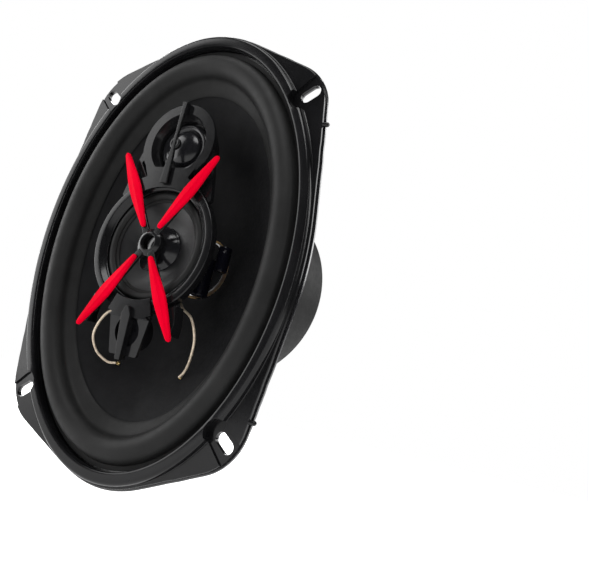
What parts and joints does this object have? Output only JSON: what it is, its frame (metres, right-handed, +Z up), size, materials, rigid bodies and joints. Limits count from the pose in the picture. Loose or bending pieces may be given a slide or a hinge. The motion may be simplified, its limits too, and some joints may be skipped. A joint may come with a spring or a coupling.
{
  "type": "coaxial car speaker",
  "caption": "Oval coaxial car speaker: steel basket, rubber-edged cone, mid-range, tweeter and super tweeter on a crossed bridge, ferrite motor behind.",
  "frame": {"origin": "centre of the mounting flange's rear face, where it meets the panel", "axes": "+Z up along the long axis, -Y out of the front, +X to the right seen from the front"},
  "size_m": [0.1644, 0.0957, 0.237],
  "materials": {
    "black_steel": "satin black paint",
    "black_plastic": "satin black moulding",
    "rubber_black": "matte",
    "cone_paper": "matte, finely textured",
    "coated_cone": "semi-gloss coating",
    "gloss_dome": "gloss",
    "red_plastic": "satin red",
    "zinc_plated_steel": "zinc plated",
    "ferrite": "matte ceramic",
    "copper_wire": "enamelled wire",
    "brass": "satin",
    "lead_braid": "woven braid",
    "spider_cloth": "resin-dipped cloth",
    "terminal_board": "matte laminate",
    "label": "printed film, no text",
    "capacitor_sleeve": "gloss sleeve",
    "former_aluminium": "thin sheet"
  },
  "bodies": {
    "speaker_frame": {"back_yoke": "zinc_plated_steel", "basket_frame": "black_steel", "basket_rivet_1": "black_steel", "basket_rivet_2": "black_steel", "basket_rivet_3": "black_steel", "basket_rivet_4": "black_steel", "bridge": "black_plastic", "capacitor_large": "capacitor_sleeve", "capacitor_small": "capacitor_sleeve", "centre_post": "zinc_plated_steel", "ferrite_magnet": "ferrite", "front_lead_left": "lead_braid", "front_lead_right": "lead_braid", "magnet_boot": "rubber_black", "mid_housing": "black_plastic", "mid_magnet": "ferrite", "mid_pole_plate": "zinc_plated_steel", "mid_surround": "rubber_black", "mid_yoke": "zinc_plated_steel", "post_bolt": "zinc_plated_steel", "rear_label": "label", "rear_lead_negative": "lead_braid", "rear_lead_positive": "lead_braid", "red_blade_lower_left": "red_plastic", "red_blade_lower_right": "red_plastic", "red_blade_upper_left": "red_plastic", "red_blade_upper_right": "red_plastic", "spider": "spider_cloth", "super_tweeter_diaphragm": "gloss_dome", "super_tweeter_element": "brass", "super_tweeter_housing": "black_plastic", "surround": "rubber_black", "terminal_board": "terminal_board", "terminal_negative": "brass", "terminal_positive": "brass", "terminal_rivet_negative": "zinc_plated_steel", "terminal_rivet_positive": "zinc_plated_steel", "top_plate": "zinc_plated_steel", "trim_ring": "black_plastic", "tweeter_bar": "black_plastic", "tweeter_housing": "black_plastic", "tweeter_magnet": "ferrite", "tweeter_pole_plate": "zinc_plated_steel", "tweeter_yoke": "zinc_plated_steel"},
    "woofer_moving": {"woofer_cone": "cone_paper", "voice_coil_former": "former_aluminium", "voice_coil": "copper_wire", "dust_collar": "cone_paper", "lead_eyelet_left": "brass", "lead_eyelet_right": "brass"},
    "mid_moving": {"mid_cone": "coated_cone", "mid_dust_cap": "gloss_dome", "mid_coil": "copper_wire"},
    "tweeter_moving": {"tweeter_dome": "gloss_dome", "tweeter_coil": "copper_wire"}
  },
  "joints": [
    {"name": "woofer_travel", "type": "slide", "parent": "speaker_frame", "child": "woofer_moving", "axis": [0, -1, 0], "range_m": [-0.005, 0.005], "stiffness_N_per_m": 3000, "deforming": ["surround", "spider", "front_lead_left", "front_lead_right", "rear_lead_positive", "rear_lead_negative"]},
    {"name": "mid_travel", "type": "slide", "parent": "speaker_frame", "child": "mid_moving", "axis": [0, -1, 0], "range_m": [-0.0008, 0.0008], "stiffness_N_per_m": 4500, "deforming": ["mid_surround"]},
    {"name": "tweeter_travel", "type": "slide", "parent": "speaker_frame", "child": "tweeter_moving", "axis": [0, -1, 0], "range_m": [-0.00025, 0.00025], "stiffness_N_per_m": 30000}
  ]
}
